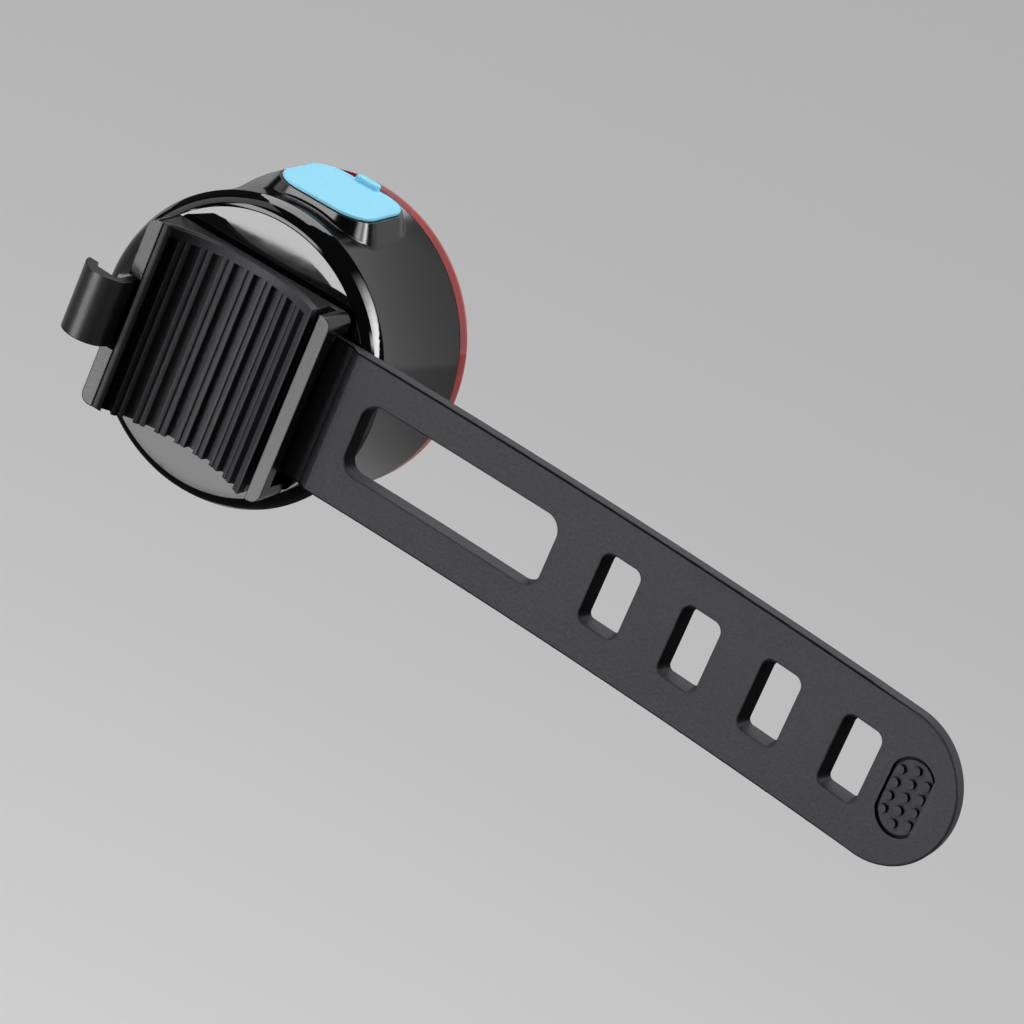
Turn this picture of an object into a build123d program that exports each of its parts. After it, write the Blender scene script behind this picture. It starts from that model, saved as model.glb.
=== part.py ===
from build123d import *
import os
from math import hypot

# Bicycle tail light that straps to a seat post.
# Z is the axis of the seat post, Y points backwards from the post to the lens,
# and X is the direction in which the strap lies open. The origin is on the post's axis.
os.makedirs("parts", exist_ok=True)

# Driving dimensions in millimetres: the bracket that sits on the post
post_radius = 16.0
saddle_length = 25.0
bracket_width = 26.6
lip_y = 12.2
lip_width = 1.8
pad_thickness = 1.2
pad_border = 1.2
corner_post_width = 2.3
bar_depth = 1.8
bracket_rim_y = 17.6
bracket_undercut = 1.3

# Driving dimensions: the lamp body, all round the Y axis
lens_radius = 20.0
rim_radius = 19.4
waist_radius = 19.1
bore_radius = 17.9
dome_radius = 17.7
dome_y = 18.5
dome_rise = 0.3
parting_y = 21.1
lens_y = 39.95
lens_front_y = 44.4
lens_flat_radius = 10.0
board_y = 32.75
board_thickness = 1.2
board_radius = 16.2

# Driving dimensions: the charging port and its flap
port_y = 31.5
flap_length = 13.05
flap_width = 13.1
flap_corner = 3.7
flap_thickness = 0.37
flap_bottom_z = 20.13
boss_top_z = 20.05
boss_margin = 0.4
boss_foot_radius = 0.6

# Driving dimensions: the push button
button_y = 30.6
button_width = 9.0
button_length = 6.6
button_face_z = 20.0
button_travel = 0.3

# Driving dimensions: the strap
strap_width = 18.6
strap_thickness = 2.0
strap_tip_x = 106.9
strap_start = (14.0, 16.4)
strap_slope = -0.0163
strap_bow = -0.00198
bead_radius = 1.5
bead_place = (10.9, 16.9)
window_ends = (19.6, 48.4)
window_height = 9.4
slot_size = (5.6, 9.4)
first_slot_x = 57.5
slot_pitch = 11.68
slot_count = 4
grip_x = 100.5

# Driving dimensions: the hook
hook_width = 8.7
hook_centre = (-15.2, 11.4)
hook_radius = 3.2
hook_thickness = 1.6

# Values that follow from the driving dimensions
half_width = bracket_width / 2
half_length = saddle_length / 2
pad_back_radius = post_radius + pad_thickness
pad_left_x = -half_width + lip_width
bar_inner_x = half_width - lip_width
pad_right_x = bar_inner_x - 1.05
post_gap = half_length - corner_post_width
flap_y = port_y - 0.07
board_front_y = board_y + board_thickness
strap_half = strap_width / 2
dome_edge = (dome_radius, dome_y + dome_rise)


# Plane square to the lamp's axis: its sketch coordinates are X and Z,
# and a negative extrusion goes towards the lens
def across(y):
    return Plane.XZ.offset(-y)


# Point on the face of the open strap that touches the post, moved inwards by depth
def strap_point(x, depth=0.0):
    run = x - strap_start[0]
    slope = strap_slope + strap_bow * run
    y = strap_start[1] + strap_slope * run + strap_bow * run * run / 2
    size = hypot(1.0, slope)
    return (x - depth * slope / size, y + depth / size)


# Plane that lies on the post side of the strap at x, with its normal away from the strap
def strap_plane(x):
    slope = strap_slope + strap_bow * (x - strap_start[0])
    at = strap_point(x)
    return Plane(origin=(at[0], at[1], 0), x_dir=(1, slope, 0), z_dir=(slope, -1, 0))


# Rear cover: shallow dome, steep shoulder, conical rim, skirt that slips into the housing,
# and four screw bosses
dome_edge_radius = 0.4
rim_edge = (18.9, 19.8)
skirt_wall = 1.2
skirt_radius = bore_radius - 0.05
skirt_end_y = 24.1
cover_inner_y = 20.3
screw_place = 7.5
screw_radius = 0.95
screw_boss_radius = 2.2
screw_boss_end_y = 23.0

with BuildPart() as rear_cover:
    with BuildSketch(Plane.XY):
        with BuildLine():
            ThreePointArc((0, dome_y), (dome_radius / 2, dome_y + dome_rise / 4), dome_edge)
            ThreePointArc(dome_edge, (18.4, 19.2), rim_edge)
            ThreePointArc(rim_edge, (19.17, 20.4), (rim_radius, parting_y - 0.1))
            Polyline(
                (rim_radius, parting_y - 0.1),
                (rim_radius - 0.15, parting_y),
                (skirt_radius, parting_y),
                (skirt_radius, skirt_end_y),
                (skirt_radius - skirt_wall, skirt_end_y),
                (skirt_radius - skirt_wall, cover_inner_y),
                (0, cover_inner_y),
                (0, dome_y),
            )
        make_face()
    revolve(axis=Axis.Y)
    round_edges = rear_cover.edges().filter_by(GeomType.CIRCLE)
    fillet([edge for edge in round_edges if abs(edge.radius - dome_radius) < 0.01], dome_edge_radius)
    with BuildSketch(across(cover_inner_y)):
        with GridLocations(2 * screw_place, 2 * screw_place, 2, 2):
            Circle(screw_boss_radius)
        Rectangle(2 * screw_place, 0.9)
        Rectangle(0.9, 2 * screw_place)
    extrude(amount=cover_inner_y - screw_boss_end_y)
    with BuildSketch(across(dome_y - 1)):
        with GridLocations(2 * screw_place, 2 * screw_place, 2, 2):
            Circle(screw_radius)
    extrude(amount=-(screw_boss_end_y - 0.4 - dome_y + 1), mode=Mode.SUBTRACT)
    # Room for the foam pad behind the battery
    with BuildSketch(across(cover_inner_y)):
        Rectangle(11, 11)
    extrude(amount=-5, mode=Mode.SUBTRACT)
rear_cover.part.label = "rear_cover"
export_step(rear_cover.part, "parts/rear_cover.step")

# Housing: waisted barrel with a flat-topped boss round the charging port
# and a hole for the push button on the opposite side
seal_height = 0.8
rear_shoulder_y = skirt_end_y + seal_height
front_shoulder_y = 37.4
shoulder_radius = 17.0
shoulder_height = 0.8
ledge_radius = 15.0
ledge_y = board_y - 1.3
board_screw_radius = 13.9
board_screw_angles = (35, 145, 215, 325)
board_stub_radius = 1.8
board_stub_y = 29.3
port_opening = (8.6, 3.4)
anchor_y = 26.6
anchor_size = (4.4, 1.2)
root_strip_y = 26.15
root_strip_size = (5.4, 2.2)
flap_middle_y = 32.2
flap_middle_size = (10.0, 8.6)
flap_middle_depth = 0.4

with BuildPart() as housing:
    with BuildSketch(Plane.XY):
        with BuildLine():
            Polyline(
                (0, lens_y),
                (0, parting_y),
                (rim_radius - 0.15, parting_y),
                (rim_radius, parting_y + 0.1),
            )
            ThreePointArc((rim_radius, parting_y + 0.1), (waist_radius, 28.0), (lens_radius, lens_y - 0.1))
            Polyline((lens_radius, lens_y - 0.1), (lens_radius - 0.15, lens_y), (0, lens_y))
        make_face()
    revolve(axis=Axis.Y)
    # Boss with sloping sides, cut flat on top where the flap lies
    with BuildSketch(Plane.XY.offset(boss_top_z)):
        with Locations((0, flap_y)):
            RectangleRounded(
                flap_width + 2 * boss_margin, flap_length + 2 * boss_margin, flap_corner + boss_margin
            )
    extrude(amount=-3.2, taper=-25)
    boss_foot = [
        edge for edge in housing.edges()
        if edge.length > 3 and 15 < (edge @ 0.5).Z < 19.6 and abs((edge @ 0.5).X) < 9
    ]
    fillet(boss_foot, boss_foot_radius)
    with BuildSketch(Plane.XY.offset(boss_top_z)):
        with Locations((0, flap_y)):
            RectangleRounded(
                flap_width + 2 * boss_margin, flap_length + 2 * boss_margin, flap_corner + boss_margin
            )
    extrude(amount=2, mode=Mode.SUBTRACT)
    # Inside of the barrel: bore, shoulders for the two seals and the ledge for the board
    with BuildSketch(Plane.XY):
        with BuildLine():
            Polyline(
                (0, parting_y),
                (bore_radius, parting_y),
                (bore_radius, rear_shoulder_y),
                (shoulder_radius, rear_shoulder_y),
                (shoulder_radius, rear_shoulder_y + shoulder_height),
                (bore_radius, rear_shoulder_y + shoulder_height),
                (bore_radius, ledge_y),
                (ledge_radius, ledge_y),
                (ledge_radius, board_y),
                (bore_radius, board_y),
                (bore_radius, front_shoulder_y - shoulder_height),
                (shoulder_radius, front_shoulder_y - shoulder_height),
                (shoulder_radius, front_shoulder_y),
                (bore_radius, front_shoulder_y),
                (bore_radius, lens_y),
                (0, lens_y),
                close=True,
            )
        make_face()
    revolve(axis=Axis.Y, mode=Mode.SUBTRACT)
    # Stubs on the ledge that take the board's screws
    with BuildSketch(across(board_stub_y)):
        for angle in board_screw_angles:
            with PolarLocations(board_screw_radius, 1, start_angle=angle):
                Circle(board_stub_radius)
                Circle(0.76, mode=Mode.SUBTRACT)
    extrude(amount=board_stub_y - board_y)
    # Gaps in the ledge for the socket and for the button
    with BuildSketch(Plane.XY.offset(12)):
        with Locations((0, board_y - 1)):
            Rectangle(9.2, 4)
    extrude(amount=bore_radius - 12.2, mode=Mode.SUBTRACT)
    with BuildSketch(Plane.XY.offset(-12)):
        with Locations((0, board_y - 1)):
            Rectangle(11.4, 4)
    extrude(amount=12.2 - bore_radius, mode=Mode.SUBTRACT)
    # Port opening, slot for the flap's root and hole for the button
    with BuildSketch(Plane.XY.offset(boss_top_z + 1)):
        with Locations((0, port_y)):
            RectangleRounded(port_opening[0], port_opening[1], 1.2)
        with Locations((0, anchor_y)):
            Rectangle(anchor_size[0], anchor_size[1])
    extrude(amount=-5, mode=Mode.SUBTRACT)
    with BuildSketch(Plane.XY.offset(boss_top_z - 0.25)):
        with Locations((0, root_strip_y)):
            Rectangle(root_strip_size[0], root_strip_size[1])
    extrude(amount=1, mode=Mode.SUBTRACT)
    # Shallow pocket for the thick middle of the flap
    with BuildSketch(Plane.XY.offset(boss_top_z - flap_middle_depth - 0.05)):
        with Locations((0, flap_middle_y)):
            RectangleRounded(flap_middle_size[0] + 0.6, flap_middle_size[1] + 0.6, 2.3)
    extrude(amount=2, mode=Mode.SUBTRACT)
    with BuildSketch(Plane.XY.offset(-15)):
        with Locations((0, button_y)):
            RectangleRounded(button_width + 0.4, button_length + 0.4, 3.2)
    extrude(amount=-8, mode=Mode.SUBTRACT)
housing.part.label = "housing"
export_step(housing.part, "parts/housing.step")

# Lens: red cap with a rolled edge, a flat centre, rings of prisms inside and a skirt
prism_radii = (3.0, 5.0, 7.0, 9.0, 11.0, 13.0)
prism_width = 1.6
prism_height = 0.6
lens_inner_y = lens_front_y - 1.5

with BuildPart() as lens:
    with BuildSketch(Plane.XY):
        with BuildLine():
            Polyline((lens_radius - 0.15, lens_y), (lens_radius, lens_y + 0.1), (lens_radius, 41.5))
            ThreePointArc((lens_radius, 41.5), (19.45, 42.9), (18.0, 43.7))
            ThreePointArc((18.0, 43.7), (14.0, 44.22), (lens_flat_radius, lens_front_y))
            Polyline(
                (lens_flat_radius, lens_front_y),
                (0, lens_front_y),
                (0, lens_inner_y),
                (14.6, lens_inner_y),
                (16.4, 42.2),
                (17.0, 41.4),
                (17.0, front_shoulder_y + seal_height),
                (skirt_radius, front_shoulder_y + seal_height),
                (skirt_radius, lens_y),
                (lens_radius - 0.15, lens_y),
            )
        make_face()
        for radius in prism_radii:
            with BuildLine():
                Polyline(
                    (radius, lens_inner_y),
                    (radius + prism_width, lens_inner_y),
                    (radius, lens_inner_y - prism_height),
                    close=True,
                )
            make_face()
    revolve(axis=Axis.Y)
lens.part.label = "lens"
export_step(lens.part, "parts/lens.step")

# Two flat seals, one squeezed by the cover's skirt and one by the lens's skirt
with BuildPart() as rear_seal:
    with BuildSketch(across(skirt_end_y)):
        Circle(skirt_radius)
        Circle(shoulder_radius, mode=Mode.SUBTRACT)
    extrude(amount=-seal_height)
rear_seal.part.label = "rear_seal"
export_step(rear_seal.part, "parts/rear_seal.step")

with BuildPart() as lens_seal:
    with BuildSketch(across(front_shoulder_y)):
        Circle(skirt_radius)
        Circle(shoulder_radius + 0.05, mode=Mode.SUBTRACT)
    extrude(amount=-seal_height)
lens_seal.part.label = "lens_seal"
export_step(lens_seal.part, "parts/lens_seal.step")

# Circuit board, round, with four screw holes
with BuildPart() as main_board:
    with BuildSketch(across(board_y)):
        Circle(board_radius)
        for angle in board_screw_angles:
            with PolarLocations(board_screw_radius, 1, start_angle=angle):
                Circle(0.9, mode=Mode.SUBTRACT)
    extrude(amount=-board_thickness)
main_board.part.label = "main_board"
export_step(main_board.part, "parts/main_board.step")

# Board screws: one node for the four
with BuildPart() as board_screws:
    with BuildSketch(across(board_front_y)):
        for angle in board_screw_angles:
            with PolarLocations(board_screw_radius, 1, start_angle=angle):
                Circle(1.4)
    extrude(amount=-1.0)
    with BuildSketch(across(board_front_y)):
        for angle in board_screw_angles:
            with PolarLocations(board_screw_radius, 1, start_angle=angle):
                Circle(0.75)
    extrude(amount=board_front_y - board_stub_y - 0.6)
    with BuildSketch(across(board_front_y + 1.0)):
        for angle in board_screw_angles:
            with PolarLocations(board_screw_radius, 1, start_angle=angle):
                Rectangle(0.4, 1.8)
                Rectangle(1.8, 0.4)
    extrude(amount=0.5, mode=Mode.SUBTRACT)
board_screws.part.label = "board_screws"
export_step(board_screws.part, "parts/board_screws.step")

# Central light source with a domed cap, and a ring of eight small ones
led_ring_radius = 11.0

with BuildPart() as center_led:
    with BuildSketch(across(board_front_y)):
        RectangleRounded(3.2, 3.2, 0.3)
    extrude(amount=-0.7)
    with BuildSketch(Plane.XY):
        with BuildLine():
            RadiusArc((1.3, board_front_y + 0.6), (0, board_front_y + 1.9), -1.3)
            Polyline((0, board_front_y + 1.9), (0, board_front_y + 0.6), (1.3, board_front_y + 0.6))
        make_face()
    revolve(axis=Axis.Y)
center_led.part.label = "center_led"
export_step(center_led.part, "parts/center_led.step")

with BuildPart() as ring_leds:
    with BuildSketch(across(board_front_y)):
        with PolarLocations(led_ring_radius, 8):
            Rectangle(1.6, 2.0)
    extrude(amount=-0.8)
ring_leds.part.label = "ring_leds"
export_step(ring_leds.part, "parts/ring_leds.step")

# Reflector: bowl round the central source, trough round the ring, skirt down to the board
reflector_radius = 16.1
reflector_floor_y = 35.2

with BuildPart() as reflector:
    with BuildSketch(Plane.XY):
        with BuildLine():
            Polyline(
                (2.4, 35.6),
                (2.4, reflector_floor_y),
                (15.5, reflector_floor_y),
                (15.5, board_front_y),
                (reflector_radius, board_front_y),
                (reflector_radius, 38.9),
                (15.5, 38.9),
            )
            ThreePointArc((15.5, 38.9), (13.6, 36.9), (12.6, 35.9))
            Polyline((12.6, 35.9), (9.6, 35.9), (8.6, 39.4), (7.6, 39.4))
            ThreePointArc((7.6, 39.4), (5.0, 37.0), (2.4, 35.6))
        make_face()
    revolve(axis=Axis.Y)
    with BuildSketch(across(reflector_floor_y)):
        with PolarLocations(led_ring_radius, 8):
            Circle(1.45)
    extrude(amount=-1, mode=Mode.SUBTRACT)
reflector.part.label = "reflector"
export_step(reflector.part, "parts/reflector.step")

# Battery: flat cell between the cover and the board, on a foam pad
battery_size = (24.0, 20.0, 5.4)
battery_y = screw_boss_end_y + 0.2

with BuildPart() as battery:
    with BuildSketch(across(battery_y)):
        RectangleRounded(battery_size[0], battery_size[1], 1.2)
    extrude(amount=-battery_size[2])
    chamfer(battery.faces().filter_by(Axis.Y).edges(), 0.5)
battery.part.label = "battery"
export_step(battery.part, "parts/battery.step")

with BuildPart() as battery_foam:
    with BuildSketch(across(cover_inner_y)):
        RectangleRounded(10.8, 10.8, 0.8)
    extrude(amount=cover_inner_y - battery_y)
battery_foam.part.label = "battery_foam"
export_step(battery_foam.part, "parts/battery_foam.step")

# Nickel strips from the cell's end to the back of the board
with BuildPart() as battery_tabs:
    with BuildSketch(across(battery_y + 1.4)):
        with Locations((0, -battery_size[1] / 2 - 0.15)):
            with GridLocations(9, 1, 2, 1):
                Rectangle(2.4, 0.3)
    extrude(amount=battery_y + 1.4 - board_y)
battery_tabs.part.label = "battery_tabs"
export_step(battery_tabs.part, "parts/battery_tabs.step")

# Control chip on the back of the board
with BuildPart() as control_chip:
    with BuildSketch(across(board_y)):
        with Locations((-3.0, 4.0)):
            Rectangle(5.0, 5.0)
    extrude(amount=0.9)
    chamfer(control_chip.faces().sort_by(Axis.Y)[0].edges(), 0.15)
control_chip.part.label = "control_chip"
export_step(control_chip.part, "parts/control_chip.step")

# Charging socket: bent sheet shell with a contact tongue, its mouth under the port
socket_height = 2.45
socket_mouth_z = 17.6
socket_depth = 5.6

with BuildPart() as charging_socket:
    with BuildSketch(Plane.XY.offset(socket_mouth_z)):
        with Locations((0, board_y - socket_height / 2)):
            RectangleRounded(7.5, socket_height, 0.6)
            RectangleRounded(6.9, socket_height - 0.6, 0.35, mode=Mode.SUBTRACT)
    extrude(amount=-socket_depth)
    with BuildSketch(Plane.XY.offset(socket_mouth_z - socket_depth)):
        with Locations((0, board_y - socket_height / 2)):
            RectangleRounded(7.5, socket_height, 0.6)
    extrude(amount=0.6)
    with BuildSketch(Plane.XY.offset(socket_mouth_z - socket_depth)):
        with Locations((0, board_y - socket_height / 2)):
            Rectangle(3.6, 0.6)
    extrude(amount=socket_depth - 1.0)
charging_socket.part.label = "charging_socket"
export_step(charging_socket.part, "parts/charging_socket.step")

# Port flap: thin plate with a thick middle, an upright finger tab and a hollow plug
tab_size = (3.4, 1.5)
tab_top_z = 21.15

with BuildPart() as port_flap:
    with BuildSketch(Plane.XY.offset(flap_bottom_z)):
        with Locations((0, flap_y)):
            RectangleRounded(flap_width, flap_length, flap_corner)
    extrude(amount=flap_thickness)
    fillet(port_flap.faces().sort_by(Axis.Z)[-1].edges(), 0.2)
    with BuildSketch(Plane.XY.offset(flap_bottom_z)):
        with Locations((0, flap_y + flap_length / 2 - 0.2)):
            RectangleRounded(tab_size[0], tab_size[1], 0.6)
    extrude(amount=tab_top_z - flap_bottom_z)
    fillet(port_flap.faces().sort_by(Axis.Z)[-1].edges(), 0.3)
    with BuildSketch(Plane.XY.offset(flap_bottom_z)):
        with Locations((0, flap_middle_y)):
            RectangleRounded(flap_middle_size[0], flap_middle_size[1], 2.0)
    extrude(amount=-flap_middle_depth)
    with BuildSketch(Plane.XY.offset(flap_bottom_z)):
        with Locations((0, port_y)):
            RectangleRounded(8.0, 2.8, 1.0)
            RectangleRounded(6.4, 1.4, 0.5, mode=Mode.SUBTRACT)
    extrude(amount=-1.9)
port_flap.part.label = "port_flap"
export_step(port_flap.part, "parts/port_flap.step")

# Root of the flap: a strip sunk in the boss, a stem through the wall and a foot behind it
with BuildPart() as flap_root:
    with BuildSketch(Plane.XY.offset(boss_top_z - 0.25)):
        with Locations((0, root_strip_y)):
            Rectangle(root_strip_size[0], root_strip_size[1])
    extrude(amount=0.25)
    with BuildSketch(Plane.XY.offset(boss_top_z - 0.25)):
        with Locations((0, anchor_y)):
            Rectangle(anchor_size[0], anchor_size[1])
    extrude(amount=-(boss_top_z - 0.25 - 17.0))
    with BuildSketch(Plane.XY.offset(17.55)):
        with Locations((0, anchor_y)):
            Rectangle(anchor_size[0] + 0.8, anchor_size[1] + 0.5)
    extrude(amount=-0.6)
flap_root.part.label = "flap_root"
export_step(flap_root.part, "parts/flap_root.step")

# Push button: rubber cap with two retaining feet and a stem down to the switch
flange_z = 17.4
switch_y = board_y - 1.5
plunger_tip_z = 16.6

with BuildPart() as button_cap:
    with BuildSketch(Plane.XY.offset(-button_face_z)):
        with Locations((0, button_y)):
            RectangleRounded(button_width, button_length, 3.0)
    extrude(amount=button_face_z - flange_z)
    fillet(button_cap.faces().sort_by(Axis.Z)[0].edges(), 0.5)
    with BuildSketch(Plane.XY.offset(-flange_z)):
        with Locations((0, button_y)):
            Rectangle(6.4, button_length + 1.4)
    extrude(amount=0.6)
    with BuildSketch(Plane.XY.offset(-flange_z)):
        with Locations((0, switch_y)):
            Circle(1.4)
    extrude(amount=flange_z - plunger_tip_z)
button_cap.part.label = "button_cap"
export_step(button_cap.part, "parts/button_cap.step")

# Switch on the edge of the board, and its plunger
switch_face_z = 15.9
switch_depth = 3.0

with BuildPart() as switch_body:
    with BuildSketch(Plane.XY.offset(-switch_face_z)):
        with Locations((0, switch_y)):
            RectangleRounded(4.6, 3.0, 0.3)
    extrude(amount=switch_depth)
    with BuildSketch(Plane.XY.offset(-switch_face_z)):
        with Locations((0, switch_y)):
            Circle(0.85)
    extrude(amount=1.6, mode=Mode.SUBTRACT)
switch_body.part.label = "switch_body"
export_step(switch_body.part, "parts/switch_body.step")

with BuildPart() as switch_plunger:
    with BuildSketch(Plane.XY.offset(-plunger_tip_z)):
        with Locations((0, switch_y)):
            Circle(0.8)
    extrude(amount=1.6)
switch_plunger.part.label = "switch_plunger"
export_step(switch_plunger.part, "parts/switch_plunger.step")

# Bracket: block with a round saddle, a lip on each side, a pocket for the pad,
# a bar with a channel for the strap's bead, and the hook
block_end_y = 19.2
corner_radius = 1.3
channel_left_x = 9.2
channel_roof_y = 15.3
ridge_y = 15.7
slot_floor_y = 16.6
counterbore_y = 17.3

with BuildPart() as bracket:
    with BuildSketch(across(lip_y)):
        RectangleRounded(bracket_width, saddle_length, corner_radius)
    extrude(amount=lip_y - bracket_rim_y)
    with BuildSketch(across(bracket_rim_y)):
        RectangleRounded(bracket_width - 2 * bracket_undercut, saddle_length - 2 * bracket_undercut, 0.4)
    extrude(amount=bracket_rim_y - block_end_y)
    # Seat that matches the dome of the rear cover
    with BuildSketch(Plane.XY):
        with BuildLine():
            ThreePointArc((0, dome_y), (dome_radius / 2, dome_y + dome_rise / 4), dome_edge)
            Polyline(
                dome_edge,
                (dome_radius + 1, dome_y + dome_rise),
                (dome_radius + 1, block_end_y + 1),
                (0, block_end_y + 1),
                (0, dome_y),
            )
        make_face()
    revolve(axis=Axis.Y, mode=Mode.SUBTRACT)
    # Saddle and pad pocket
    with BuildSketch(Plane.XY):
        Circle(post_radius + 0.15)
    extrude(amount=half_length + 1, both=True, mode=Mode.SUBTRACT)
    with BuildSketch(Plane.XY):
        Circle(pad_back_radius)
        with Locations(((pad_left_x + pad_right_x) / 2, 10)):
            Rectangle(pad_right_x - pad_left_x, 20, mode=Mode.INTERSECT)
    extrude(amount=half_length + 1, both=True, mode=Mode.SUBTRACT)
    # Slot between the pad and the bar, open at both ends
    with BuildSketch(Plane.XY):
        with Locations(((pad_right_x + bar_inner_x) / 2, (lip_y + slot_floor_y) / 2 - 1)):
            Rectangle(bar_inner_x - pad_right_x, slot_floor_y - lip_y + 2)
    extrude(amount=half_length + 1, both=True, mode=Mode.SUBTRACT)
    # Channel for the bead and mouth for the strap, with a ridge behind the bar that keeps the bead in
    with BuildSketch(Plane.XY):
        with Locations(bead_place):
            Circle(bead_radius + 0.1)
        with BuildLine():
            Polyline(
                (channel_left_x, bead_place[1]),
                (bead_place[0], channel_roof_y),
                (bar_inner_x, channel_roof_y),
                (bar_inner_x, ridge_y),
                (bar_inner_x + 1.3, ridge_y),
                (half_width - 0.2, lip_y + bar_depth),
                (half_width + 1, lip_y + bar_depth),
                (half_width + 1, block_end_y + 1),
                (channel_left_x, block_end_y + 1),
                close=True,
            )
        make_face()
    extrude(amount=post_gap, both=True, mode=Mode.SUBTRACT)
    # Holes for the four screws into the rear cover
    with BuildSketch(across(lip_y)):
        with GridLocations(2 * screw_place, 2 * screw_place, 2, 2):
            Circle(1.75)
    extrude(amount=lip_y - counterbore_y, mode=Mode.SUBTRACT)
    with BuildSketch(across(lip_y)):
        with GridLocations(2 * screw_place, 2 * screw_place, 2, 2):
            Circle(screw_radius + 0.1)
    extrude(amount=lip_y - block_end_y, mode=Mode.SUBTRACT)
    # Notch in the left lip, and the hook that rises out of it
    with BuildSketch(Plane.XY):
        with Locations((-half_width, lip_y)):
            Rectangle(2 * lip_width, 5.0)
    extrude(amount=hook_width / 2 + 0.4, both=True, mode=Mode.SUBTRACT)
    with BuildSketch(Plane.XY):
        with BuildLine():
            left = hook_centre[0] - hook_radius
            right = hook_centre[0] + hook_radius
            ThreePointArc(
                (right, hook_centre[1]),
                (hook_centre[0], hook_centre[1] - hook_radius),
                (left, hook_centre[1]),
            )
            Polyline(
                (left, hook_centre[1]),
                (left + 1.3, hook_centre[1]),
                (left + hook_thickness + 0.4, hook_centre[1] - 1.2),
                (-half_width - 0.6, hook_centre[1] - 1.4),
                (-half_width, hook_centre[1] - 0.8),
                (-half_width, 15.5),
                (right, 15.5),
                (right, hook_centre[1]),
            )
        make_face()
    extrude(amount=hook_width / 2, both=True)
bracket.part.label = "bracket"
export_step(bracket.part, "parts/bracket.step")

# Bracket screws: one node for the four
with BuildPart() as bracket_screws:
    with BuildSketch(across(counterbore_y)):
        with GridLocations(2 * screw_place, 2 * screw_place, 2, 2):
            Circle(1.65)
    extrude(amount=1.0)
    with BuildSketch(across(counterbore_y)):
        with GridLocations(2 * screw_place, 2 * screw_place, 2, 2):
            Circle(screw_radius)
    extrude(amount=-(screw_boss_end_y - 0.6 - counterbore_y))
    with BuildSketch(across(counterbore_y - 1.0)):
        with GridLocations(2 * screw_place, 2 * screw_place, 2, 2):
            Rectangle(0.45, 2.0)
            Rectangle(2.0, 0.45)
    extrude(amount=-0.6, mode=Mode.SUBTRACT)
bracket_screws.part.label = "bracket_screws"
export_step(bracket_screws.part, "parts/bracket_screws.step")

# Rubber pad: nine ribs along the post, parted by deep grooves that end in a border on top,
# each rib with a fine middle line
rib_count = 9
rib_pitch = 10.0
pad_turn = -2.1
groove_size = (1.3, 1.0)
line_size = (0.35, 0.2)
rib_edge_radius = 0.2

with BuildPart() as post_pad:
    with BuildSketch(Plane.XY.offset(-half_length)):
        Circle(pad_back_radius)
        Circle(post_radius, mode=Mode.SUBTRACT)
        with Locations(((pad_left_x + pad_right_x) / 2, 15.2)):
            Rectangle(pad_right_x - pad_left_x - 0.1, 5.7, mode=Mode.INTERSECT)
    extrude(amount=saddle_length)
    groove_span = (rib_count - 2) * rib_pitch
    groove_start = 90 - pad_turn - groove_span / 2
    with BuildSketch(Plane.XY.offset(-half_length)):
        with PolarLocations(post_radius, rib_count - 1, groove_start, groove_span, endpoint=True):
            Rectangle(2 * groove_size[1], groove_size[0])
    extrude(amount=saddle_length - pad_border, mode=Mode.SUBTRACT)
    line_span = (rib_count - 3) * rib_pitch
    line_start = 90 - pad_turn - line_span / 2
    with BuildSketch(Plane.XY.offset(-half_length)):
        with PolarLocations(post_radius, rib_count - 2, line_start, line_span, endpoint=True):
            Rectangle(2 * line_size[1], line_size[0])
    extrude(amount=saddle_length - pad_border, mode=Mode.SUBTRACT)
post_pad.part.label = "post_pad"
export_step(post_pad.part, "parts/post_pad.step")

# Strap: bowed band with a bead and a rounded shoulder at its root, a long window,
# four slots and a studded grip
strap_end_x = strap_tip_x + 2
middle_x = (strap_start[0] + strap_end_x) / 2
outline_start_x = bead_place[0] - bead_radius - 0.5
neck_start_x = 12.35
neck_y = 17.35
neck_end = (15.0, 17.35)
shoulder_point = (15.75, 16.65)
shoulder_start = (17.5, 16.25)
edge_radius = 0.25
grip_size = (9.8, 6.2)
grip_depth = 0.2
grip_groove_depth = 0.3
window_draft = 8
slot_draft = 15
stud_pitch = 1.72
stud_radius = 0.5
stud_height = 0.42
stud_columns = (4, 5, 4)
column_pitch = 1.85

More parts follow.
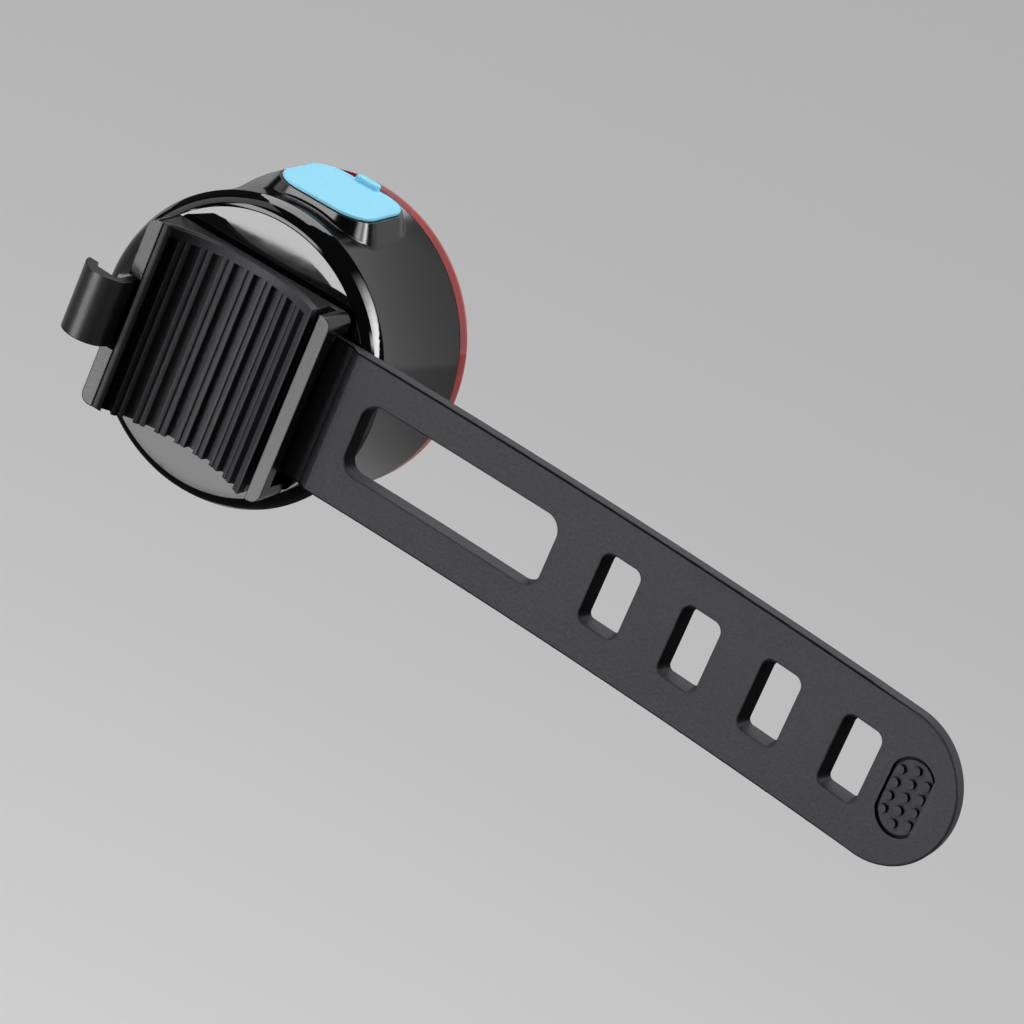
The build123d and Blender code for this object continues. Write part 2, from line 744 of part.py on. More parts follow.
with BuildPart() as strap:
    with BuildSketch(Plane.XY):
        with BuildLine():
            ThreePointArc(strap_start, strap_point(middle_x), strap_point(strap_end_x))
            Line(strap_point(strap_end_x), strap_point(strap_end_x, strap_thickness))
            ThreePointArc(
                strap_point(strap_end_x, strap_thickness),
                strap_point(middle_x, strap_thickness),
                strap_point(strap_start[0], strap_thickness),
            )
            Polyline(
                strap_point(strap_start[0], strap_thickness),
                (bead_place[0], bead_place[1] + bead_radius),
                bead_place,
                (bead_place[0] + 1.2, strap_start[1]),
                strap_start,
            )
        make_face()
        with Locations(bead_place):
            Circle(bead_radius)
    extrude(amount=strap_half, both=True)
    # Outline seen from the post: straight sides and a round tip
    with BuildSketch(Plane.XZ):
        with Locations(((outline_start_x + strap_tip_x - strap_half) / 2, 0)):
            Rectangle(strap_tip_x - strap_half - outline_start_x, strap_width)
        with Locations((strap_tip_x - strap_half, 0)):
            Circle(strap_half)
    extrude(amount=-40, mode=Mode.INTERSECT)
    # Window and slots, which narrow towards the far side
    with BuildSketch(strap_plane((window_ends[0] + window_ends[1]) / 2).offset(0.3)):
        RectangleRounded(window_ends[1] - window_ends[0], window_height, 2.2)
    extrude(amount=-strap_thickness - 0.6, taper=window_draft, mode=Mode.SUBTRACT)
    for index in range(slot_count):
        with BuildSketch(strap_plane(first_slot_x + index * slot_pitch).offset(0.1)):
            RectangleRounded(slot_size[0], slot_size[1], 1.3)
        extrude(amount=-strap_thickness - 0.3, taper=slot_draft, mode=Mode.SUBTRACT)
    broad_faces = strap.faces().sort_by(SortBy.AREA)[-2:].sort_by(Axis.Y)
    rounded = broad_faces[0].edges() + broad_faces[1].outer_wire().edges()
    fillet([edge for edge in rounded if edge.center().X > strap_start[0] - 1], edge_radius)
    # Thin neck between the bead and a rounded shoulder
    with BuildSketch(Plane.XY):
        with BuildLine():
            Polyline(shoulder_start, (neck_start_x, shoulder_start[1]), (neck_start_x, neck_y), neck_end)
            ThreePointArc(neck_end, shoulder_point, shoulder_start)
        make_face()
    extrude(amount=strap_half + 1, both=True, mode=Mode.SUBTRACT)
    # Sunken grip near the tip, ringed by a groove, with three columns of studs
    with BuildSketch(strap_plane(grip_x)):
        SlotOverall(grip_size[0], grip_size[1], rotation=90)
    extrude(amount=-grip_depth, mode=Mode.SUBTRACT)
    with BuildSketch(strap_plane(grip_x).offset(-grip_depth)):
        SlotOverall(grip_size[0], grip_size[1], rotation=90)
        SlotOverall(grip_size[0] - 0.8, grip_size[1] - 0.8, rotation=90, mode=Mode.SUBTRACT)
    extrude(amount=-grip_groove_depth, mode=Mode.SUBTRACT)
    with BuildSketch(strap_plane(grip_x).offset(-grip_depth)):
        for column in range(len(stud_columns)):
            with Locations(((column - 1) * column_pitch, 0)):
                with GridLocations(1, stud_pitch, 1, stud_columns[column]):
                    Circle(stud_radius)
    extrude(amount=stud_height)
strap.part.label = "strap"
export_step(strap.part, "parts/strap.step")
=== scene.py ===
import math

import bmesh
import bpy
from mathutils import Matrix, Vector

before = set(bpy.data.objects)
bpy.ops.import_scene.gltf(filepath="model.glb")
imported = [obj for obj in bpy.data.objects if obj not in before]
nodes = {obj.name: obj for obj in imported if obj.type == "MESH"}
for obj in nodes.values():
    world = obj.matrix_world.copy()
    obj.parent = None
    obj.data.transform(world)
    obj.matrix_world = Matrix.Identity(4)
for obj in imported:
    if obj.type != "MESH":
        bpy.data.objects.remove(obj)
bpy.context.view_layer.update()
scene = bpy.context.scene
print("frame loaded with", len(nodes), "nodes")


# Node helpers

def newMaterial(name):
    material = bpy.data.materials.new(name)
    material.use_nodes = True
    tree = material.node_tree
    tree.nodes.clear()
    output = tree.nodes.new("ShaderNodeOutputMaterial")
    shader = tree.nodes.new("ShaderNodeBsdfPrincipled")
    tree.links.new(shader.outputs[0], output.inputs[0])
    return material, tree, shader


def addNode(tree, kind, inputs=None, **settings):
    node = tree.nodes.new("ShaderNode" + kind)
    for key, value in settings.items():
        setattr(node, key, value)
    for key, value in (inputs or {}).items():
        node.inputs[key].default_value = value
    return node


def link(tree, source, target):
    tree.links.new(source, target)


def setShader(shader, settings):
    for key, value in settings.items():
        shader.inputs[key].default_value = value


def grey(value):
    return (value, value, value, 1.0)


def calc(tree, operation, first, second=None, third=None, clamp=False):
    node = addNode(tree, "Math", operation=operation, use_clamp=clamp)
    for index, value in enumerate((first, second, third)):
        if isinstance(value, (int, float)):
            node.inputs[index].default_value = value
        elif value is not None:
            link(tree, value, node.inputs[index])
    return node.outputs[0]


def mapRange(tree, value, low, high):
    node = addNode(tree, "MapRange", {"To Min": low, "To Max": high})
    link(tree, value, node.inputs["Value"])
    return node.outputs["Result"]


def smoothBetween(tree, value, low, high):
    node = addNode(tree, "MapRange", {"From Min": low, "From Max": high}, interpolation_type="SMOOTHSTEP")
    link(tree, value, node.inputs["Value"])
    return node.outputs["Result"]


def rampNode(tree, factor, stops):
    ramp = addNode(tree, "ValToRGB")
    elements = ramp.color_ramp.elements
    elements[0].position, elements[0].color = stops[0]
    elements[1].position, elements[1].color = stops[1]
    link(tree, factor, ramp.inputs["Fac"])
    return ramp.outputs["Color"]


def mixColor(tree, factor, first, second):
    mix = addNode(tree, "Mix", data_type="RGBA")
    link(tree, factor, mix.inputs["Factor"])
    for socket, value in ((mix.inputs["A"], first), (mix.inputs["B"], second)):
        if isinstance(value, tuple):
            socket.default_value = value
        else:
            link(tree, value, socket)
    return mix.outputs["Result"]


def mixValue(tree, factor, first, second):
    mix = addNode(tree, "Mix", data_type="FLOAT")
    for socket, value in (("Factor", factor), ("A", first), ("B", second)):
        if isinstance(value, float):
            mix.inputs[socket].default_value = value
        else:
            link(tree, value, mix.inputs[socket])
    return mix.outputs["Result"]


def objectPlace(tree):
    # The X, Y and Z of a point on the piece, in metres in the frame that all pieces share
    coords = addNode(tree, "TexCoord")
    place = addNode(tree, "SeparateXYZ")
    link(tree, coords.outputs["Object"], place.inputs[0])
    return place.outputs


# Shared surface effects, each a group with its own inputs

def newGroup(name, inputs, outputs):
    group = bpy.data.node_groups.new(name, "ShaderNodeTree")
    for label, value in inputs:
        socket = group.interface.new_socket(label, in_out="INPUT", socket_type="NodeSocketFloat")
        socket.default_value = value
    for label in outputs:
        kind = "NodeSocketVector" if label == "Normal" else "NodeSocketFloat"
        group.interface.new_socket(label, in_out="OUTPUT", socket_type=kind)
    return group, group.nodes.new("NodeGroupInput"), group.nodes.new("NodeGroupOutput")


def useGroup(tree, group, **values):
    node = tree.nodes.new("ShaderNodeGroup")
    node.node_tree = group
    for key, value in values.items():
        node.inputs[key.replace("_", " ")].default_value = value
    return node


def scaledCoords(group, scaleSocket):
    coords = addNode(group, "TexCoord")
    scaled = addNode(group, "VectorMath", operation="SCALE")
    link(group, coords.outputs["Object"], scaled.inputs[0])
    link(group, scaleSocket, scaled.inputs["Scale"])
    return scaled.outputs[0]


def buildGrainGroup():
    # Fine leather-like grain of moulded rubber, with soft blotches
    group, start, end = newGroup(
        "mouldGrain", [("Grains Per Metre", 2600.0), ("Blotches Per Metre", 90.0)], ["Height", "Blotch"]
    )
    noiseShare = 0.6  # of the noise in the grain's height, beside the cells
    grainCoords = scaledCoords(group, start.outputs["Grains Per Metre"])
    cells = addNode(group, "TexVoronoi", {"Scale": 1.0, "Randomness": 1.0}, feature="SMOOTH_F1")
    fine = addNode(group, "TexNoise", {"Scale": 1.7, "Detail": 3.0, "Roughness": 0.6})
    link(group, grainCoords, cells.inputs["Vector"])
    link(group, grainCoords, fine.inputs["Vector"])
    height = calc(group, "MULTIPLY_ADD", fine.outputs["Fac"], noiseShare, cells.outputs["Distance"])
    link(group, height, end.inputs["Height"])
    blotches = addNode(group, "TexNoise", {"Scale": 1.0, "Detail": 4.0, "Roughness": 0.55})
    link(group, scaledCoords(group, start.outputs["Blotches Per Metre"]), blotches.inputs["Vector"])
    link(group, blotches.outputs["Fac"], end.inputs["Blotch"])
    return group


def buildRubGroup():
    # Lighter rubbed edges, partly wear and partly a painted edge highlight: the bevelled normal departs from
    # the true one near an edge
    group, start, end = newGroup("edgeRub", [("Width", 0.0004), ("Strength", 1.0)], ["Rub"])
    bevel = addNode(group, "Bevel", samples=4)
    geometry = addNode(group, "NewGeometry")
    agreement = addNode(group, "VectorMath", operation="DOT_PRODUCT")
    link(group, start.outputs["Width"], bevel.inputs["Radius"])
    link(group, bevel.outputs[0], agreement.inputs[0])
    link(group, geometry.outputs["Normal"], agreement.inputs[1])
    away = calc(group, "SUBTRACT", 1.0, agreement.outputs["Value"])
    link(group, calc(group, "MULTIPLY", away, start.outputs["Strength"], clamp=True), end.inputs["Rub"])
    return group


def buildSoftEdgeGroup():
    # Edges that a mould leaves slightly round
    group, start, end = newGroup("softEdge", [("Radius", 0.0002)], ["Normal"])
    bevel = addNode(group, "Bevel", samples=8)
    link(group, start.outputs["Radius"], bevel.inputs["Radius"])
    link(group, bevel.outputs[0], end.inputs["Normal"])
    return group


def buildCreviceGroup():
    # Painted shade: the bottoms of grooves narrower than a given width, found by ambient occlusion
    group, start, end = newGroup("creviceShade", [("Width", 0.0007)], ["Crevice"])
    shade = addNode(group, "AmbientOcclusion", samples=8, only_local=True)
    stops = [(0.55, grey(1)), (0.9, grey(0))]
    link(group, start.outputs["Width"], shade.inputs["Distance"])
    link(group, rampNode(group, shade.outputs["AO"], stops), end.inputs["Crevice"])
    return group


def buildSmudgeGroup():
    # Faint handling marks and dust specks on glossy plastic
    group, start, end = newGroup(
        "smudges", [("Marks Per Metre", 120.0), ("Specks Per Metre", 900.0)], ["Smudge", "Speck"]
    )
    markStops = [(0.45, grey(0)), (0.75, grey(1))]
    speckStops = [(0.03, grey(1)), (0.09, grey(0))]
    marks = addNode(group, "TexNoise", {"Scale": 1.0, "Detail": 5.0, "Roughness": 0.6, "Distortion": 0.8})
    link(group, scaledCoords(group, start.outputs["Marks Per Metre"]), marks.inputs["Vector"])
    link(group, rampNode(group, marks.outputs["Fac"], markStops), end.inputs["Smudge"])
    specks = addNode(group, "TexVoronoi", {"Scale": 1.0, "Randomness": 1.0}, feature="F1")
    link(group, scaledCoords(group, start.outputs["Specks Per Metre"]), specks.inputs["Vector"])
    link(group, rampNode(group, specks.outputs["Distance"], speckStops), end.inputs["Speck"])
    return group


grainGroup = buildGrainGroup()
rubAndSheenGroup = buildRubGroup()
smudgeGroup = buildSmudgeGroup()
softEdgeGroup = buildSoftEdgeGroup()
creviceShadeGroup = buildCreviceGroup()
print("surface effects built")


def addBump(tree, shader, height, distance, strength=1.0, edge=0.0):
    bump = addNode(tree, "Bump", {"Strength": strength, "Distance": distance})
    link(tree, height, bump.inputs["Height"])
    if edge:
        link(tree, useGroup(tree, softEdgeGroup, Radius=edge).outputs["Normal"], bump.inputs["Normal"])
    link(tree, bump.outputs["Normal"], shader.inputs["Normal"])


# Black plastics: polished cover, smooth housing, satin bracket

blackGloss = {
    "color": (0.002, 0.002, 0.0021, 1), "markedAndSheen": (0.005, 0.005, 0.0052, 1), "rough": (0.025, 0.05),
    "ior": 1.5, "ripple": 0.0000025, "rubAndSheenWidth": 0.00018, "rubAndSheenStrength": 1.2,
}
housingGloss = dict(blackGloss, rough=(0.16, 0.21))
# The cover's face rounds off a little before its fillet: where that ring starts and how wide it is, in
# metres, and how steep it ends
coverCrown = {"start": 0.0158, "width": 0.0019, "slope": 0.06}


def crownDrop(tree, look):
    place = objectPlace(tree)
    squares = [calc(tree, "POWER", place[axis], 2.0) for axis in "XZ"]
    radius = calc(tree, "SQRT", calc(tree, "ADD", *squares))
    past = calc(tree, "MAXIMUM", calc(tree, "SUBTRACT", radius, look["start"]), 0.0)
    past = calc(tree, "MINIMUM", past, look["width"])
    return calc(tree, "MULTIPLY", calc(tree, "POWER", past, 3.0), look["slope"] / (3 * look["width"] ** 2))


def blackBase(tree, smudges, finish):
    # Black with a little dust, paler where edges are rubbed: partly wear, partly a painted edge highlight
    rubAndSheen = useGroup(tree, rubAndSheenGroup, Width=finish["rubAndSheenWidth"], Strength=finish["rubAndSheenStrength"])
    dusty = mixColor(tree, smudges.outputs["Speck"], finish["color"], finish["markedAndSheen"])
    return mixColor(tree, rubAndSheen.outputs["Rub"], dusty, finish["markedAndSheen"])


def makeGlossPlastic(name, finish, crown=None):
    material, tree, shader = newMaterial(name)
    smudges = useGroup(tree, smudgeGroup)
    grain = useGroup(tree, grainGroup)
    link(tree, blackBase(tree, smudges, finish), shader.inputs["Base Color"])
    link(tree, mapRange(tree, smudges.outputs["Smudge"], *finish["rough"]), shader.inputs["Roughness"])
    height = calc(tree, "MULTIPLY", grain.outputs["Blotch"], finish["ripple"])
    if crown:
        height = calc(tree, "SUBTRACT", height, crownDrop(tree, crown))
    addBump(tree, shader, height, 1.0)
    setShader(shader, {"IOR": finish["ior"]})
    return material


# Heights and lengths in metres: hookEnd is where the hook ends and the block starts, along Y
bracketFinish = {
    "color": (0.003, 0.003, 0.0032, 1), "markedAndSheen": (0.008, 0.008, 0.0083, 1), "hookRough": (0.31, 0.36),
    "faceRough": (0.17, 0.23), "hookEnd": 0.0119, "hookBlend": 0.0002, "grains": 3800.0, "depth": 0.000012,
    "bump": 0.6, "edge": 0.00022, "rubAndSheenWidth": 0.00018, "rubAndSheenStrength": 1.2,
}


def makeBracketPlastic(finish):
    # The hook has a satin mould finish, the faces round the pad are smoother
    material, tree, shader = newMaterial("bracketPlastic")
    smudges = useGroup(tree, smudgeGroup)
    grain = useGroup(tree, grainGroup, Grains_Per_Metre=finish["grains"])
    hookEnd, blend = finish["hookEnd"], finish["hookBlend"]
    onHook = addNode(tree, "MapRange", {"From Min": hookEnd + blend, "From Max": hookEnd - blend})
    link(tree, objectPlace(tree)["Y"], onHook.inputs["Value"])
    faceRough = mapRange(tree, smudges.outputs["Smudge"], *finish["faceRough"])
    hookRough = mapRange(tree, smudges.outputs["Smudge"], *finish["hookRough"])
    rough = mixValue(tree, onHook.outputs["Result"], faceRough, hookRough)
    link(tree, rough, shader.inputs["Roughness"])
    link(tree, blackBase(tree, smudges, finish), shader.inputs["Base Color"])
    addBump(tree, shader, grain.outputs["Height"], finish["depth"], finish["bump"], finish["edge"])
    return material


# Rubbers: grey strap and pad, blue flap, black button and seals

greyRubber = {
    "light": (0.026, 0.0265, 0.032, 1), "dark": (0.0075, 0.008, 0.0105, 1), "wornAndSheen": (0.03, 0.03, 0.031, 1),
    "rough": (0.52, 0.6), "grains": 2600.0, "depth": 0.00005, "shine": 0.36, "speckle": 0.6,
    "lineAndShadeColor": (0.0015, 0.0015, 0.0016, 1), "lineAndShadeShine": 0.06,
}
padFinish = dict(greyRubber, shine=0.46)
blueRubber = {
    "light": (0.265, 0.71, 0.93, 1), "dark": (0.235, 0.67, 0.9, 1), "wornAndSheen": (0.5, 0.84, 0.97, 1),
    "rough": (0.42, 0.55), "grains": 3400.0, "depth": 0.00003, "shine": 0.5, "speckle": 0.2,
}
blackRubber = {
    "light": (0.022, 0.022, 0.023, 1), "dark": (0.015, 0.015, 0.016, 1), "wornAndSheen": (0.05, 0.05, 0.05, 1),
    "rough": (0.5, 0.62), "grains": 3000.0, "depth": 0.00004, "shine": 0.4, "speckle": 0.4,
}
rubberWearAndSheen = {"width": 0.0003, "strength": 0.8, "bump": 0.8}


def makeRubber(name, finish, darkLinesAndShade=None, edge=0.0):
    # Where a mask is given, the rubber is nearly black and dull: painted shade, and on the strap also a thin
    # dark line along its front edge
    material, tree, shader = newMaterial(name)
    grain = useGroup(tree, grainGroup, Grains_Per_Metre=finish["grains"])
    rubAndSheen = useGroup(tree, rubAndSheenGroup, Width=rubberWearAndSheen["width"], Strength=rubberWearAndSheen["strength"])
    speckle = mixValue(tree, finish["speckle"], grain.outputs["Blotch"], grain.outputs["Height"])
    base = mixColor(tree, speckle, finish["dark"], finish["light"])
    # Paler edges: partly wear, partly a painted edge highlight
    base = mixColor(tree, rubAndSheen.outputs["Rub"], base, finish["wornAndSheen"])
    if darkLinesAndShade:
        mask = darkLinesAndShade(tree)
        base = mixColor(tree, mask, base, finish["lineAndShadeColor"])
        shine = mapRange(tree, mask, finish["shine"], finish["lineAndShadeShine"])
        link(tree, shine, shader.inputs["Specular IOR Level"])
    else:
        setShader(shader, {"Specular IOR Level": finish["shine"]})
    link(tree, base, shader.inputs["Base Color"])
    link(tree, mapRange(tree, grain.outputs["Blotch"], *finish["rough"]), shader.inputs["Roughness"])
    addBump(tree, shader, grain.outputs["Height"], finish["depth"], rubberWearAndSheen["bump"], edge)
    return material


# The strap's dark places, in metres: half its width, where its round end starts, a thin dark line along the
# front edge (from, full, full to, gone) and where it fades out along X, the rim that the walls with painted
# shade keep off, and the width of the grip's grooves, whose bottoms get painted shade as dark as grooveShade.
# frontFacing and shadedWallFacing are how far a face has to turn that way.
strapLinesAndShade = {
    "half": 0.0093, "endX": 0.0976, "line": (0.00002, 0.0001, 0.00022, 0.0003), "lineEnd": (0.105, 0.09),
    "rim": (0.0006, 0.0009), "groove": 0.0007, "grooveShade": 0.85, "frontFacing": (0.1, 0.4),
    "shadedWallFacing": (0.45, 0.8),
}


def strapLineAndShadeMask(tree):
    look = strapLinesAndShade
    place = objectPlace(tree)
    coords = addNode(tree, "TexCoord")
    facing = addNode(tree, "SeparateXYZ")
    link(tree, coords.outputs["Normal"], facing.inputs[0])
    pastEnd = calc(tree, "MAXIMUM", calc(tree, "SUBTRACT", place["X"], look["endX"]), 0.0)
    squares = [calc(tree, "POWER", value, 2.0) for value in (pastEnd, place["Z"])]
    inward = calc(tree, "SUBTRACT", look["half"], calc(tree, "SQRT", calc(tree, "ADD", *squares)))
    lineStart, lineFull, lineFullTo, lineGone = look["line"]
    line = calc(tree, "MULTIPLY", smoothBetween(tree, inward, lineStart, lineFull),
                smoothBetween(tree, inward, lineGone, lineFullTo))
    line = calc(tree, "MULTIPLY", line, smoothBetween(tree, place["X"], *look["lineEnd"]))
    front = smoothBetween(tree, calc(tree, "MULTIPLY", facing.outputs["Y"], -1.0), *look["frontFacing"])
    line = calc(tree, "MULTIPLY", line, front)
    insideRim = smoothBetween(tree, inward, *look["rim"])
    # Painted shade: walls that face +X, inside the rim, are painted nearly black and dull
    shadedWall = calc(tree, "MULTIPLY", smoothBetween(tree, facing.outputs["X"], *look["shadedWallFacing"]), insideRim)
    # Painted shade at the bottoms of the grip's narrow grooves
    creviceShade = useGroup(tree, creviceShadeGroup, Width=look["groove"])
    groove = calc(tree, "MULTIPLY", creviceShade.outputs["Crevice"], look["grooveShade"])
    return calc(tree, "MAXIMUM", calc(tree, "MAXIMUM", line, groove), shadedWall, clamp=True)


# Painted shade: the pad is painted darker and duller towards its left edge, but for the very rim; metres
# along X
padShade = {"rim": (-0.0112, -0.0106), "fade": (-0.004, -0.0105), "edge": 0.00028}


def padPaintedShadeMask(tree):
    along = objectPlace(tree)["X"]
    inside = smoothBetween(tree, along, *padShade["rim"])
    return calc(tree, "MULTIPLY", inside, smoothBetween(tree, along, *padShade["fade"]), clamp=True)


# Clear red lens

lensFinish = {
    "color": (0.86, 0.025, 0.03, 1), "dusty": (0.88, 0.08, 0.08, 1), "rough": (0.04, 0.1), "clear": 0.8,
    "ior": 1.49,
}


def makeLensPlastic(finish):
    material, tree, shader = newMaterial("redLens")
    smudges = useGroup(tree, smudgeGroup)
    base = mixColor(tree, smudges.outputs["Speck"], finish["color"], finish["dusty"])
    link(tree, base, shader.inputs["Base Color"])
    link(tree, mapRange(tree, smudges.outputs["Smudge"], *finish["rough"]), shader.inputs["Roughness"])
    setShader(shader, {"Transmission Weight": finish["clear"], "IOR": finish["ior"]})
    return material


# Inside of the lamp: metals, board, light sources, chips and foam

metalFinishes = {
    "reflectorPlate": {"color": (0.86, 0.86, 0.87, 1), "rough": (0.05, 0.12)},
    "zincSteel": {"color": (0.58, 0.57, 0.55, 1), "rough": (0.25, 0.4)},
    "nickelSheet": {"color": (0.66, 0.64, 0.6, 1), "rough": (0.2, 0.35)},
    "pouchFoil": {"color": (0.62, 0.62, 0.63, 1), "rough": (0.3, 0.45)},
}
metalMarks = {"perMetre": 700.0, "dulled": 0.8}
matteFinishes = {
    "boardMask": {
        "light": (0.02, 0.13, 0.05, 1), "dark": (0.015, 0.1, 0.04, 1), "rough": (0.25, 0.4), "grains": 1500.0,
    },
    "ledResin": {
        "light": (0.86, 0.84, 0.66, 1), "dark": (0.8, 0.78, 0.6, 1), "rough": (0.2, 0.35), "grains": 1500.0,
    },
    "chipResin": {
        "light": (0.022, 0.022, 0.023, 1), "dark": (0.017, 0.017, 0.018, 1), "rough": (0.45, 0.6),
        "grains": 3000.0,
    },
    "foamGrey": {"light": grey(0.13), "dark": grey(0.09), "rough": (0.8, 0.95), "grains": 1800.0},
}
matteBump = {"depth": 0.00003, "strength": 0.5}


def makeMetal(name, color, rough):
    material, tree, shader = newMaterial(name)
    smudges = useGroup(tree, smudgeGroup, Marks_Per_Metre=metalMarks["perMetre"])
    darker = tuple(metalMarks["dulled"] * channel for channel in color[:3]) + (1,)
    link(tree, mixColor(tree, smudges.outputs["Smudge"], color, darker), shader.inputs["Base Color"])
    link(tree, mapRange(tree, smudges.outputs["Smudge"], *rough), shader.inputs["Roughness"])
    setShader(shader, {"Metallic": 1.0})
    return material


def makeMatte(name, light, dark, rough, grains):
    material, tree, shader = newMaterial(name)
    grain = useGroup(tree, grainGroup, Grains_Per_Metre=grains)
    link(tree, mixColor(tree, grain.outputs["Blotch"], dark, light), shader.inputs["Base Color"])
    link(tree, mapRange(tree, grain.outputs["Blotch"], *rough), shader.inputs["Roughness"])
    addBump(tree, shader, grain.outputs["Height"], matteBump["depth"], matteBump["strength"])
    return material


# Which material each piece gets

materials = {
    "coverPlastic": makeGlossPlastic("blackGlossPlastic", blackGloss, coverCrown),
    "housingPlastic": makeGlossPlastic("housingPlastic", housingGloss),
    "bracketPlastic": makeBracketPlastic(bracketFinish),
    "strapRubber": makeRubber("strapRubber", greyRubber, strapLineAndShadeMask),
    "padRubber": makeRubber("padRubber", padFinish, padPaintedShadeMask, padShade["edge"]),
    "flapRubber": makeRubber("flapRubber", blueRubber),
    "buttonRubber": makeRubber("buttonRubber", blackRubber),
    "redLens": makeLensPlastic(lensFinish),
}
for finishName, finish in metalFinishes.items():
    materials[finishName] = makeMetal(finishName, **finish)
for finishName, finish in matteFinishes.items():
    materials[finishName] = makeMatte(finishName, **finish)

pieceMaterials = {
    "rear_cover": "coverPlastic", "housing": "housingPlastic", "lens": "redLens",
    "rear_seal": "buttonRubber", "lens_seal": "buttonRubber", "button_cap": "buttonRubber",
    "bracket": "bracketPlastic", "bracket_screws": "zincSteel", "post_pad": "padRubber",
    "strap": "strapRubber", "port_flap": "flapRubber", "flap_root": "flapRubber",
    "charging_socket": "nickelSheet", "main_board": "boardMask", "board_screws": "zincSteel",
    "control_chip": "chipResin", "switch_body": "chipResin", "switch_plunger": "chipResin",
    "center_led": "ledResin", "ring_leds": "ledResin", "reflector": "reflectorPlate",
    "battery": "pouchFoil", "battery_foam": "foamGrey", "battery_tabs": "nickelSheet",
}
for piece, materialName in pieceMaterials.items():
    nodes[piece].material_slots[0].material = materials[materialName]
print("materials on", len(pieceMaterials), "pieces")


# Floor and world

floorLook = {
    "height": -0.7, "size": 40.0, "color": (0.45, 0.45, 0.45, 1), "rough": 0.6, "shine": 0.2, "glow": 0.42,
}
worldStrength = 0.025


def makeFloor(look):
    bpy.ops.mesh.primitive_plane_add(size=look["size"], location=(0, 0, look["height"]))
    floor = bpy.context.object
    floor.name = "floor"
    material, tree, shader = newMaterial("floorPaint")
    setShader(shader, {
        "Base Color": look["color"], "Roughness": look["rough"], "Specular IOR Level": look["shine"],
        "Emission Color": (1, 1, 1, 1),
    })
    # Pale to the eye, in reflections and through the lens, without lighting the part
    path = addNode(tree, "LightPath").outputs
    seen = calc(tree, "MAXIMUM", path["Is Camera Ray"], path["Is Glossy Ray"])
    seen = calc(tree, "MAXIMUM", seen, path["Is Transmission Ray"])
    link(tree, mapRange(tree, seen, 0.0, look["glow"]), shader.inputs["Emission Strength"])
    floor.data.materials.append(material)


def makeWorld(strength):
    world = bpy.data.worlds.new("studio")
    scene.world = world
    world.use_nodes = True
    background = world.node_tree.nodes["Background"]
    background.inputs["Color"].default_value = grey(1.0)
    background.inputs["Strength"].default_value = strength


# Lights: azimuth from the front towards the right and height above the level, both in degrees, as the part
# sees them. width and tall are the angles that a panel fills, roll turns it about its own middle, and fade
# gives the shares of its size over which it fades at its left, right, low and high edges.
softboxes = {
    "frontBox": {
        "azimuth": -27, "height": -8.9, "width": 36, "tall": 12, "radiance": 12,
        "fade": (0.15, 0.15, 0, 0.25),
    },
    "frontLowBox": {
        "azimuth": -27, "height": -29.2, "width": 36, "tall": 20.6, "radiance": 5.2,
        "fade": (0.15, 0.15, 0.7, 0),
    },
    "frontHighBox": {
        "azimuth": -32, "height": 31, "width": 44, "tall": 16, "radiance": 7.4, "distance": 0.55,
        "fade": (0.15, 0.15, 0.15, 0.15),
    },
    "leftBox": {"azimuth": -76, "height": 30, "width": 30, "tall": 56, "radiance": 1.2},
    "ceilingBox": {"azimuth": -150, "height": 54, "width": 36, "tall": 32, "radiance": 4.3, "distance": 1.4},
    "rimBox": {
        "azimuth": 105.5, "height": 42, "width": 18, "tall": 50, "radiance": 18, "roll": -14,
        "fade": (0.8, 0.08, 0, 0.75),
    },
    "cornerBox": {
        "azimuth": 80, "height": 27, "width": 26, "tall": 13, "radiance": 9, "fade": (0.5, 0.3, 0.45, 0.45),
    },
    "backBox": {
        "azimuth": 168, "height": 22, "width": 76, "tall": 48, "radiance": 0.62, "fade": (0, 0.08, 0, 0.1),
    },
}
# Dark cards below the part, so that its gloss doesn't mirror the pale floor
darkCards = {
    "backCard": {
        "azimuth": 168, "height": -32, "width": 90, "tall": 60, "distance": 0.5, "color": grey(0.38),
    },
    "lowCard": {
        "azimuth": -20, "height": -86, "width": 130, "tall": 96, "distance": 0.35, "color": grey(0.04),
    },
}
cardRough = 0.9
panelTarget = (0.02, 0.02, 0.0)  # the point that every panel and card faces, in metres


def panelPlace(azimuth, height, width, tall, distance=1.0, roll=0.0):
    turn, lift = math.radians(azimuth), math.radians(height)
    away = Vector((math.sin(turn) * math.cos(lift), -math.cos(turn) * math.cos(lift), math.sin(lift)))
    turned = away.to_track_quat("Z", "Y").to_matrix() @ Matrix.Rotation(math.radians(roll), 3, "Z")
    sides = [2 * distance * math.tan(math.radians(angle / 2)) for angle in (width, tall)]
    return Vector(panelTarget) + away * distance, turned, sides


def fadeEdges(light, fade):
    # A softbox's fabric is less bright near its frame
    light.use_nodes = True
    tree = light.node_tree
    surface = addNode(tree, "NewGeometry")
    across = addNode(tree, "SeparateXYZ")
    link(tree, surface.outputs["Parametric"], across.inputs[0])
    left, right, low, high = fade
    edges = (("X", 0.0, left), ("X", 1.0, 1.0 - right), ("Y", 0.0, low), ("Y", 1.0, 1.0 - high))
    mask = 1.0
    for axis, frameEdge, fullFrom in edges:
        if frameEdge != fullFrom:
            edge = smoothBetween(tree, across.outputs[axis], frameEdge, fullFrom)
            mask = calc(tree, "MULTIPLY", edge, mask)
    link(tree, mask, tree.nodes["Emission"].inputs["Strength"])


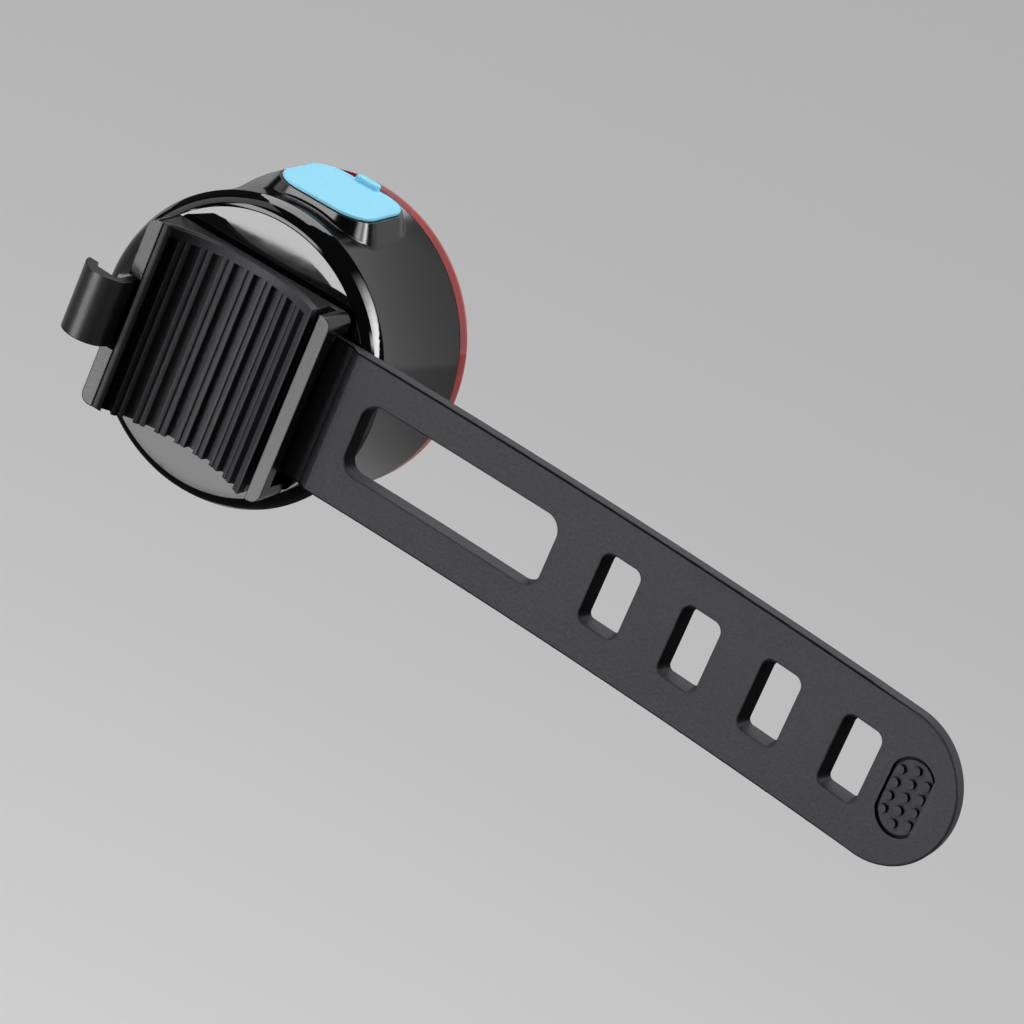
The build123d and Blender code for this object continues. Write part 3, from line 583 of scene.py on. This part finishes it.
def makeSoftbox(name, radiance, fade=None, **place):
    spot, turned, sides = panelPlace(**place)
    light = bpy.data.lights.new(name, "AREA")
    light.shape = "RECTANGLE"
    light.size, light.size_y = sides
    light.energy = radiance * math.pi * sides[0] * sides[1]
    if fade:
        fadeEdges(light, fade)
    lamp = bpy.data.objects.new(name, light)
    scene.collection.objects.link(lamp)
    lamp.location = spot
    lamp.rotation_euler = turned.to_euler()
    lamp.visible_camera = False


def makeDarkCard(name, color, **place):
    spot, turned, sides = panelPlace(**place)
    mesh = bpy.data.meshes.new(name)
    card = bmesh.new()
    bmesh.ops.create_grid(card, x_segments=1, y_segments=1, size=0.5)
    placed = Matrix.Translation(spot) @ turned.to_4x4() @ Matrix.Diagonal((sides[0], sides[1], 1, 1))
    bmesh.ops.transform(card, matrix=placed, verts=card.verts)
    card.to_mesh(mesh)
    card.free()
    panel = bpy.data.objects.new(name, mesh)
    scene.collection.objects.link(panel)
    for kind in ("camera", "shadow", "diffuse"):
        setattr(panel, "visible_" + kind, False)
    material, tree, shader = newMaterial(name + "Paint")
    setShader(shader, {"Base Color": color, "Roughness": cardRough, "Specular IOR Level": 0.0})
    mesh.materials.append(material)


# Camera, at the photograph's angle: metres, degrees of roll, and the lens in millimetres
cameraView = {
    "place": (0.2149, -0.4708, 0.1971), "aim": (0.04246, 0.01394, 0.00285), "roll": 23.54, "lens": 167.2,
    "sensor": 36.0, "nearest": 0.01,
}


def makeCamera(view):
    camera = bpy.data.objects.new("photoCamera", bpy.data.cameras.new("photoCamera"))
    scene.collection.objects.link(camera)
    camera.data.lens = view["lens"]
    camera.data.sensor_width = view["sensor"]
    camera.data.clip_start = view["nearest"]
    away = (Vector(view["place"]) - Vector(view["aim"])).normalized()
    turned = away.to_track_quat("Z", "Y").to_matrix() @ Matrix.Rotation(math.radians(view["roll"]), 3, "Z")
    camera.matrix_world = Matrix.Translation(view["place"]) @ turned.to_4x4()
    scene.camera = camera


makeFloor(floorLook)
makeWorld(worldStrength)
for boxName, look in softboxes.items():
    makeSoftbox(boxName, **look)
for cardName, look in darkCards.items():
    makeDarkCard(cardName, **look)
makeCamera(cameraView)
scene.view_settings.view_transform = "Standard"
print("studio with", len(softboxes), "softboxes and", len(darkCards), "dark cards")
